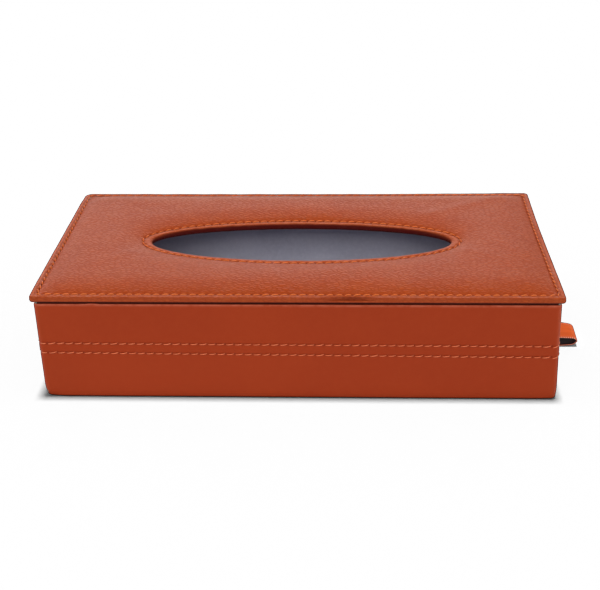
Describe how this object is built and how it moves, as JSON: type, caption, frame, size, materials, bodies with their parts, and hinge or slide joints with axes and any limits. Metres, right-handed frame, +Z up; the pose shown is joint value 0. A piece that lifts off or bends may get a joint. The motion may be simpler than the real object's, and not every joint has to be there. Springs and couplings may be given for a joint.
{
  "type": "tissue box cover",
  "caption": "Leather-wrapped box cover with a padded lid, an oval dispensing mouth, and a hinged bottom flap with a ribbon pull.",
  "frame": {"origin": "on the table, under the middle of the walls", "axes": "+X towards the pull ribbon, +Y to the back, +Z up"},
  "size_m": [0.2808, 0.134, 0.0593],
  "materials": {
    "smooth_leather": "smooth satin",
    "pebbled_leather": "fine pebble grain, satin",
    "lining": "smooth matte",
    "grey_board": "matte",
    "foam": "matte wadding",
    "magnet": "nickel plated",
    "ribbon": "satin weave"
  },
  "bodies": {
    "case": {"front_board": "grey_board", "back_board": "grey_board", "left_board": "grey_board", "right_board": "grey_board", "wall_skin": "smooth_leather", "wall_lining": "lining", "lid_board": "grey_board", "lid_foam": "foam", "lid_skin": "pebbled_leather", "lid_lining": "lining", "front_rail": "grey_board", "back_rail": "grey_board", "right_rail": "grey_board", "catch_magnets": "magnet", "hinge_strip": "smooth_leather"},
    "flap": {"flap_board": "grey_board", "flap_skin": "smooth_leather", "flap_lining": "lining", "flap_magnets": "magnet", "pull_ribbon": "ribbon"}
  },
  "joints": [
    {"name": "flap_hinge", "type": "hinge", "parent": "case", "child": "flap", "pos_m": [-0.1248, 0, 0], "axis": [0, 1, 0], "range_deg": [0, 180]}
  ]
}
